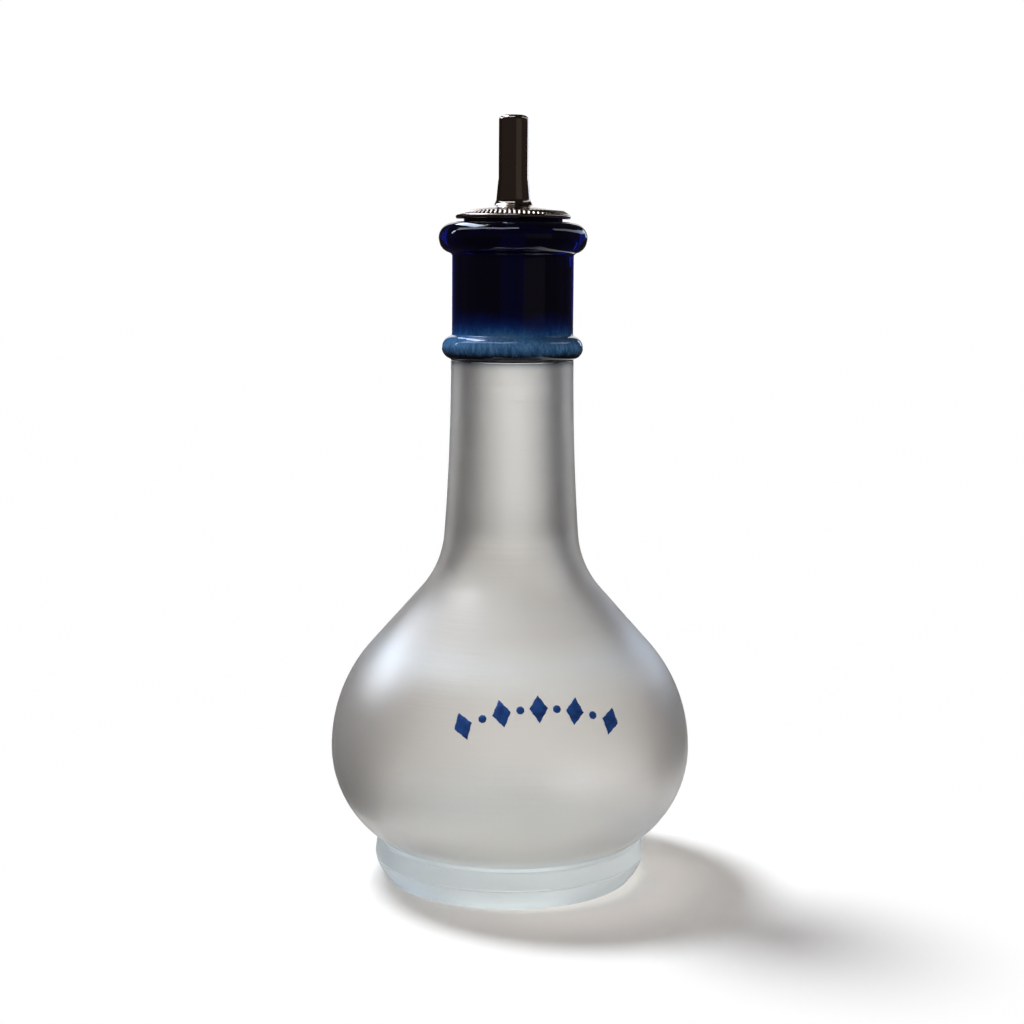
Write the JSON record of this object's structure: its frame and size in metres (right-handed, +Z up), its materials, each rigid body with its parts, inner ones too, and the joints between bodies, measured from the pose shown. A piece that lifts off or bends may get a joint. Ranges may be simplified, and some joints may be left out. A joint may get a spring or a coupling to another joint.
{
  "type": "bitters bottle",
  "caption": "Round-bellied frosted glass flask with a cobalt glass collar, closed by a corked metal dasher spout that lets its contents out in drops.",
  "frame": {"origin": "centre of the ring that the foot stands on", "axes": "+Z up along the axis of the bottle; it is round about Z, so X and Y are free"},
  "size_m": [0.0724, 0.0724, 0.152],
  "materials": {
    "frosted_glass": "acid-etched satin outside, clear inside",
    "cobalt_glass": "glossy, deep cobalt blue",
    "seal_rubber": "matt black",
    "cork": "cut natural cork",
    "dark_nickel": "polished, milled rim",
    "polished_steel": "drawn and polished",
    "plain_steel": "plain stamped"
  },
  "bodies": {
    "bottle": {"bottle_body": "frosted_glass", "neck_collar": "cobalt_glass"},
    "seal": {"seal_ring": "seal_rubber"},
    "stopper": {"cork_bung": "cork", "cap_disc": "dark_nickel", "spout_tube": "polished_steel", "end_washer": "plain_steel"}
  },
  "joints": [
    {"name": "stopper_lift", "type": "slide", "parent": "bottle", "child": "seal", "axis": [0, 0, 1], "range_m": [0, 0.06]},
    {"name": "stopper_turn", "type": "hinge", "parent": "seal", "child": "stopper", "pos_m": [0, 0, 0.1319], "axis": [0, 0, 1], "continuous": true}
  ]
}
